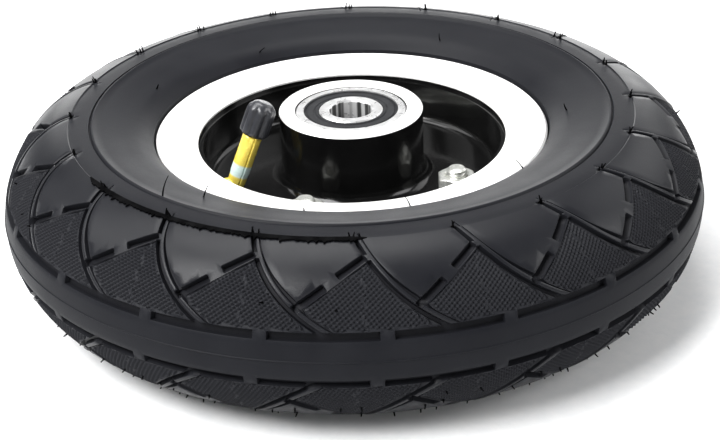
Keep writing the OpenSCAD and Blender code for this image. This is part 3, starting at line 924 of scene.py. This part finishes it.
def tyre_rubber():
    s = Shader("tyre_rubber")
    floor = s.node("Attribute")
    floor.attribute_name = "floor"
    knurl = s.node("Attribute")
    knurl.attribute_name = "knurl"
    patches = s.noise(14, 4)
    fine = s.noise(0.35, 5, 0.7)
    smooth = s.node("Attribute")
    smooth.attribute_name = "smooth"
    colour = s.blend(s.spread(patches, 0.35, 0.7), (0.0078, 0.0082, 0.0105, 1), (0.0105, 0.011, 0.0135, 1))
    dark = s.blend(s.math("MULTIPLY", floor.outputs["Fac"], 0.5), colour, (0.012, 0.012, 0.014, 1))
    s.set(Base_Color=s.blend(s.math("MULTIPLY", knurl.outputs["Fac"], 0.8), dark, (0.018, 0.0185, 0.0215, 1)))
    rough = s.spread(patches, 0.3, 0.75, 0.46, 0.56)
    rough = s.math("SUBTRACT", rough, s.math("MULTIPLY", smooth.outputs["Fac"], 0.14))
    s.set(Roughness=s.math("ADD", rough, s.spread(fine, 0.3, 0.7, -0.03, 0.05)))
    normal = s.bump(s.noise(2.2, 3), 0.12, 0.12)
    s.set(Normal=s.bump(fine, 0.25, 0.05, normal))
    s.set(Specular_IOR_Level=s.spread(smooth.outputs["Fac"], 0.0, 1.0, 0.07, 0.175))
    return s.material


def rim_finish():
    """Gloss black paint, with bare turned aluminium on the lip and on the boss face."""
    s = Shader("rim_black")
    lip_r, lip_z = 43.7, 15.3
    face_r, face_depth = 21, 0.55
    r, z = s.radius(), s.height()
    on_lip = s.math("GREATER_THAN", r, lip_r * MM)
    lip = s.math("MULTIPLY", on_lip, s.math("GREATER_THAN", z, lip_z * MM))
    on_face = s.math("GREATER_THAN", z, (BOSS_Z - face_depth) * MM)
    face = s.math("MULTIPLY", on_face, s.math("LESS_THAN", r, face_r * MM))
    bare = s.math("MAXIMUM", lip, face)
    turning = s.math("SINE", s.math("MULTIPLY", r, 2 * math.pi / (0.18 * MM)))
    wander = s.noise(1.6, 2)
    lines = s.math("ADD", s.math("MULTIPLY", turning, 0.25), wander)
    peel = s.noise(1.3, 2, 0.4)
    paint = s.blend(s.spread(s.noise(20, 3), 0.4, 0.7), grey(0.003), grey(0.006))
    metal = s.blend(s.spread(wander, 0.3, 0.7), grey(0.86, 0.01), grey(0.95, 0.005))
    s.set(Base_Color=s.blend(bare, paint, metal), Metallic=s.math("MULTIPLY", bare, 0.15))
    s.set(Roughness=s.spread(bare, 0.0, 1.0, s.spread(s.noise(6, 3), 0.3, 0.7, 0.13, 0.19), 0.3))
    s.set(Specular_IOR_Level=s.spread(bare, 0.0, 1.0, 0.3, 0.6))
    flat = s.bump(peel, 0.1, 0.05)
    s.set(Normal=s.bump(s.math("MULTIPLY", lines, bare), 0.3, 0.02, flat))
    return s.material


def ground_steel(name, level, rough):
    """Ground or turned steel: fine rings about the axle line, and dark streaks down the bore that are painted
    reflections.
    """
    s = Shader(name)
    rings = s.math("SINE", s.math("MULTIPLY", s.radius(), 2 * math.pi / (0.12 * MM)))
    cloud = s.noise(2.5, 4)
    x, y, _ = s.axes()
    flat = s.node("CombineXYZ", X=x, Y=y)
    # Dark streaks down the bore: painted reflections of the dark surroundings, laid into the steel's colour.
    reflection_bands = s.node("TexNoise", Scale=1 / (2.6 * MM), Detail=1.0)
    s.put(reflection_bands, "Vector", flat.outputs[0])
    bore_edge = 6.15
    in_bore = s.math("LESS_THAN", s.radius(), bore_edge * MM)
    painted_reflection_streak = s.math("MULTIPLY", in_bore, s.spread(reflection_bands.outputs["Fac"], 0.44, 0.52))
    face = s.blend(s.spread(cloud, 0.3, 0.7), grey(level * 0.85), grey(level))
    s.set(Base_Color=s.blend(painted_reflection_streak, face, grey(0.06)), Metallic=s.spread(in_bore, 0, 1, 0.7, 0.4))
    s.set(Roughness=s.spread(cloud, 0.3, 0.7, rough, rough + 0.08))
    s.set(Normal=s.bump(rings, 0.15, 0.01))
    return s.material


def valve_brass():
    """Bright turned brass, with a pale band near the bend that is a painted reflection of the light."""
    s = Shader("valve_brass")
    station = s.along(STEM_TIP * MM, STEM_AXIS)
    # The band from low to high above the bend is a painted reflection: a pale colour in place of the light
    # that the bend reflects.
    low, high = 0.2 - STEM_LEN, 4.3 - STEM_LEN
    fade = 0.5
    painted_reflection_band = s.math("MULTIPLY", s.spread(station, high * MM, (high - fade) * MM),
                    s.spread(station, low * MM, (low + fade) * MM))
    cloud = s.noise(1.5, 4)
    brass = s.blend(s.spread(cloud, 0.3, 0.7), (0.95, 0.7, 0.1, 1), (1.0, 0.84, 0.16, 1))
    s.set(Base_Color=s.blend(painted_reflection_band, brass, (0.8, 1.0, 0.95, 1)), Metallic=0.3)
    s.set(Roughness=s.spread(s.noise(0.3, 5), 0.3, 0.7, 0.16, 0.3))
    s.set(Normal=s.bump(s.noise(0.4, 5, 0.7), 0.12, 0.03))
    return s.material


def plated_metal(name, colour, rough, metallic=1.0):
    """Plated or machined metal with soft clouding and small scratches."""
    s = Shader(name)
    cloud = s.noise(1.8, 5, 0.6)
    scratch = s.noise(0.25, 6, 0.8)
    darker = tuple(c * 0.72 for c in colour[:3]) + (1,)
    s.set(Base_Color=s.blend(s.spread(cloud, 0.35, 0.65), darker, colour), Metallic=metallic)
    s.set(Roughness=s.spread(scratch, 0.35, 0.65, rough, rough + 0.14))
    s.set(Normal=s.bump(scratch, 0.12, 0.03))
    return s.material


def moulded_polymer(name, colour, rough, grain_mm, shine=0.5):
    """Moulded rubber or plastic with a fine grain and slight shade changes."""
    s = Shader(name)
    cloud = s.noise(4, 4)
    grain = s.noise(grain_mm, 4, 0.65)
    lighter = tuple(min(1, c * 1.5 + 0.004) for c in colour[:3]) + (1,)
    s.set(Base_Color=s.blend(s.spread(cloud, 0.35, 0.7), colour, lighter))
    s.set(Roughness=s.spread(grain, 0.3, 0.7, rough, rough + 0.1), Normal=s.bump(grain, 0.2, 0.04))
    s.set(Specular_IOR_Level=shine)
    return s.material


def floor_cloth():
    """Pale, faintly woven studio sweep."""
    s = Shader("studio_floor")
    mottle = s.noise(3, 3)
    s.set(Base_Color=s.blend(s.spread(mottle, 0.3, 0.7), grey(0.86, -0.01), grey(0.9)), Roughness=0.9)
    s.set(Specular_IOR_Level=0.1, Normal=s.bump(mottle, 0.2, 0.4))
    return s.material


def make_materials():
    return {
        "tyre_rubber": tyre_rubber(),
        # Near-black and almost without shine: on the flash this is painted shade, standing in for the shadow
        # under the fin; the vent hairs share the same rubber.
        "flash_painted_shade_and_hair_rubber": moulded_polymer("flash_painted_shade_and_hair_rubber", (0.0006, 0.0006, 0.0008, 1), 0.8, 0.3, shine=0.02),
        "tube_rubber": moulded_polymer("tube_rubber", (0.02, 0.02, 0.021, 1), 0.5, 0.3),
        "rim_black": rim_finish(),
        "zinc_steel": plated_metal("zinc_steel", (0.86, 0.87, 0.82, 1), 0.24, 0.75),
        "bearing_steel": ground_steel("bearing_steel", 0.72, 0.26),
        "cage_nylon": moulded_polymer("cage_nylon", (0.55, 0.5, 0.36, 1), 0.4, 0.4),
        "seal_rubber": moulded_polymer("seal_rubber", (0.012, 0.0125, 0.014, 1), 0.6, 0.25, shine=0.15),
        "valve_brass": valve_brass(),
        "core_brass": plated_metal("core_brass", (0.85, 0.6, 0.25, 1), 0.25),
        "spring_steel": plated_metal("spring_steel", (0.6, 0.6, 0.6, 1), 0.2),
        "cap_plastic": moulded_polymer("cap_plastic", (0.021, 0.022, 0.026, 1), 0.27, 0.5, shine=0.6),
    }


# ---------- camera, light and floor ----------

PICTURE_W = 720
FOCAL_PX = 1702.2
ELEVATION = math.radians(26.24)
DISTANCE = 0.49574
ROLL, PAN, TILT = 0.03886, -0.00367, -0.02182   # small turns of the camera, in radians


def make_camera():
    data = bpy.data.cameras.new("camera")
    data.sensor_width = 36
    data.lens = FOCAL_PX * data.sensor_width / PICTURE_W
    data.clip_start, data.clip_end = 0.01, 20
    cam = bpy.data.objects.new("camera", data)
    bpy.context.scene.collection.objects.link(cam)
    back = Vector((0, -math.cos(ELEVATION), math.sin(ELEVATION)))
    up = Vector((0, math.sin(ELEVATION), math.cos(ELEVATION)))
    basis = Matrix((Vector((1, 0, 0)), up, -back))
    turn = Matrix.Rotation(TILT, 3, "X") @ Matrix.Rotation(PAN, 3, "Y") @ Matrix.Rotation(ROLL, 3, "Z")
    rows = turn @ basis
    axes = Matrix((rows[0], rows[1], -rows[2])).transposed()
    cam.matrix_world = Matrix.Translation(back * DISTANCE) @ axes.to_4x4()
    bpy.context.scene.camera = cam


def area_light(name, place_at, size, power, colour=(1, 1, 1)):
    data = bpy.data.lights.new(name, "AREA")
    data.shape = "RECTANGLE"
    data.size, data.size_y = size
    data.energy, data.color = power, colour
    ob = bpy.data.objects.new(name, data)
    bpy.context.scene.collection.objects.link(ob)
    ob.location = place_at
    ob.rotation_euler = (-Vector(place_at)).to_track_quat("-Z", "Y").to_euler()
    return ob


def make_studio():
    world = bpy.data.worlds.new("studio")
    bpy.context.scene.world = world
    world.use_nodes = True
    background = world.node_tree.nodes["Background"]
    background.inputs["Color"].default_value = (1, 1, 1, 1)
    background.inputs["Strength"].default_value = 0.1
    area_light("overhead_soft", (-0.15, 0.35, 1.1), (0.9, 0.7), 14)
    area_light("front_left_soft", (-0.7, -0.5, 1.0), (0.7, 0.7), 27)
    area_light("left_soft", (-0.9, 0.25, 0.75), (0.6, 0.6), 4)
    area_light("right_soft", (1.0, -0.1, 0.5), (0.6, 0.6), 6.5)
    area_light("back_right_soft", (0.8, 0.7, 0.6), (0.6, 0.6), 2.5)
    area_light("back_low_soft", (0.0, 1.2, 0.17), (1.2, 0.3), 6)
    area_light("front_low_soft", (0.2, -1.3, 0.4), (0.9, 0.4), 3)
    floor_z = cad_low.z
    corners = [(-3, -3, floor_z), (3, -3, floor_z), (3, 3, floor_z), (-3, 3, floor_z)]
    floor = mesh_object("studio_floor", corners, [(0, 1, 2, 3)])
    floor.data.materials.append(floor_cloth())
    bpy.context.scene.view_settings.view_transform = "Standard"


# ---------- assembly ----------

def dress_cad_nodes(materials):
    """Gives every CAD node the finish that its name calls for. The first match counts."""
    finish = {
        "seal": "seal_rubber", "inner_tube": "tube_rubber", "valve_boot": "tube_rubber",
        "rim_half": "rim_black", "rim_bolts": "zinc_steel", "rim_nuts": "zinc_steel",
        "_ring": "bearing_steel", "balls": "bearing_steel", "bearing_spacer": "bearing_steel",
        "cage": "cage_nylon", "valve_stem": "valve_brass", "valve_cap": "cap_plastic",
        "core_body": "core_brass", "core_pin": "core_brass", "core_spring": "spring_steel",
        "tyre": "tyre_rubber",
    }
    for name, node in NODES.items():
        slot = next(slot for part, slot in finish.items() if part in name)
        node.data.materials.clear()
        node.data.materials.append(materials[slot])


def fit_piece(piece, body, slot, material, *nodes):
    """Gives a piece its finish, its body and the CAD nodes it stands for."""
    piece.data.materials.append(material)
    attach(piece, body)
    if nodes:
        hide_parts(*nodes)


def build_all():
    materials = make_materials()
    dress_cad_nodes(materials)
    fit_piece(build_tyre(), "wheel", "tyre_rubber", materials["tyre_rubber"], "tyre")
    fit_piece(build_whiskers(), "wheel", "tyre_rubber", materials["flash_painted_shade_and_hair_rubber"])
    # The flash's near-black colour is painted shade for the shadow under the fin.
    fit_piece(build_flash(), "wheel", "tyre_rubber", materials["flash_painted_shade_and_hair_rubber"])
    fit_piece(build_nuts(), "wheel", "zinc_steel", materials["zinc_steel"], "rim_nuts")
    fit_piece(build_bolts(), "wheel", "zinc_steel", materials["zinc_steel"], "rim_bolts")
    for node in ("upper_outboard_seal", "lower_outboard_seal"):
        fit_piece(build_seal(node), "wheel", "seal_rubber", materials["seal_rubber"], node)
    fit_piece(build_valve_stem(), "wheel", "valve_brass", materials["valve_brass"], "valve_stem")
    fit_piece(build_valve_cap(), "cap", "cap_plastic", materials["cap_plastic"], "valve_cap")
    spring = build_core_spring()
    fit_piece(spring, "wheel", "spring_steel", materials["spring_steel"], "valve_core_spring")
    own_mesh(spring)


build_all()
make_studio()
make_camera()
